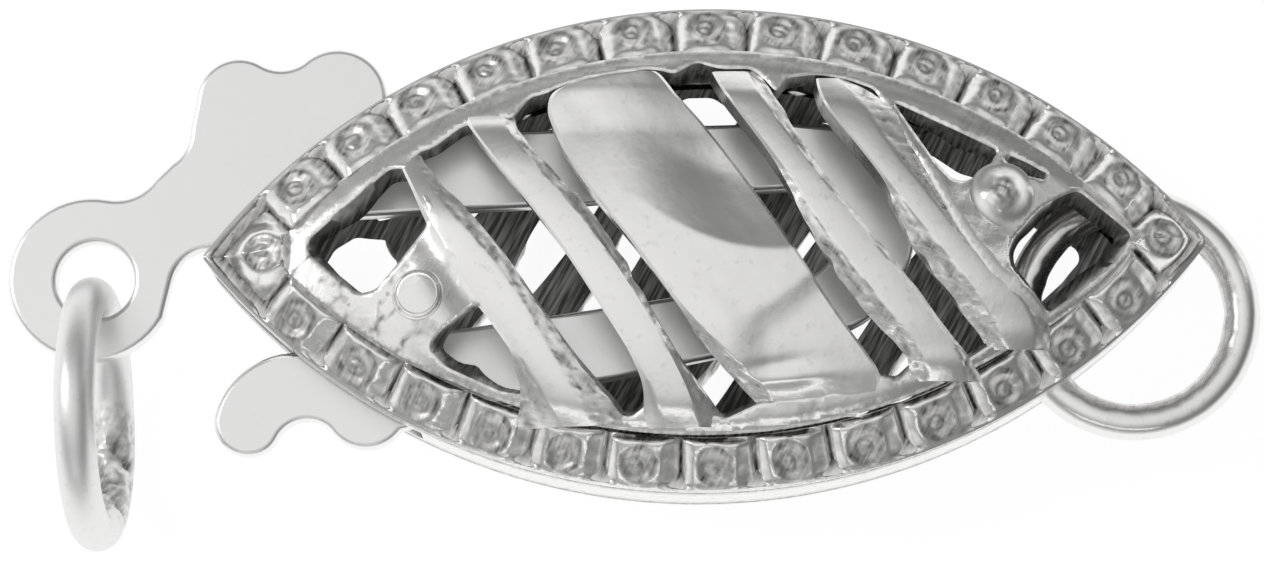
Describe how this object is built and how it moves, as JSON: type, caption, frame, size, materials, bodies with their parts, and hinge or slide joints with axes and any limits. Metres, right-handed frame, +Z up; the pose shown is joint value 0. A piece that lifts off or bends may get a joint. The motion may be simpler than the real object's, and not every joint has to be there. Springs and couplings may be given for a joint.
{
  "type": "fish hook clasp",
  "caption": "Reversible fish hook clasp: a domed, pierced almond case with an end ring, and a flat hook with a jump ring.",
  "frame": {"origin": "middle of the base of the whole clasp, as it lies on its back face", "axes": "+X along the clasp towards the end ring, +Y across it towards the long arm of the hook, +Z up, out of the front face"},
  "size_m": [0.0222, 0.0094, 0.0048],
  "materials": {
    "case_metal": "polished silver, grey in the recesses",
    "hook_metal": "satin silver sheet with soft edges",
    "ring_metal": "polished silver wire"
  },
  "bodies": {
    "case": {"case": "case_metal"},
    "hook": {"hook_tongue": "hook_metal", "jump_ring": "ring_metal"}
  },
  "joints": [
    {"name": "hook_slide", "type": "slide", "parent": "case", "child": "hook", "axis": [-1, 0, 0], "range_m": [0, 0.0096]}
  ]
}
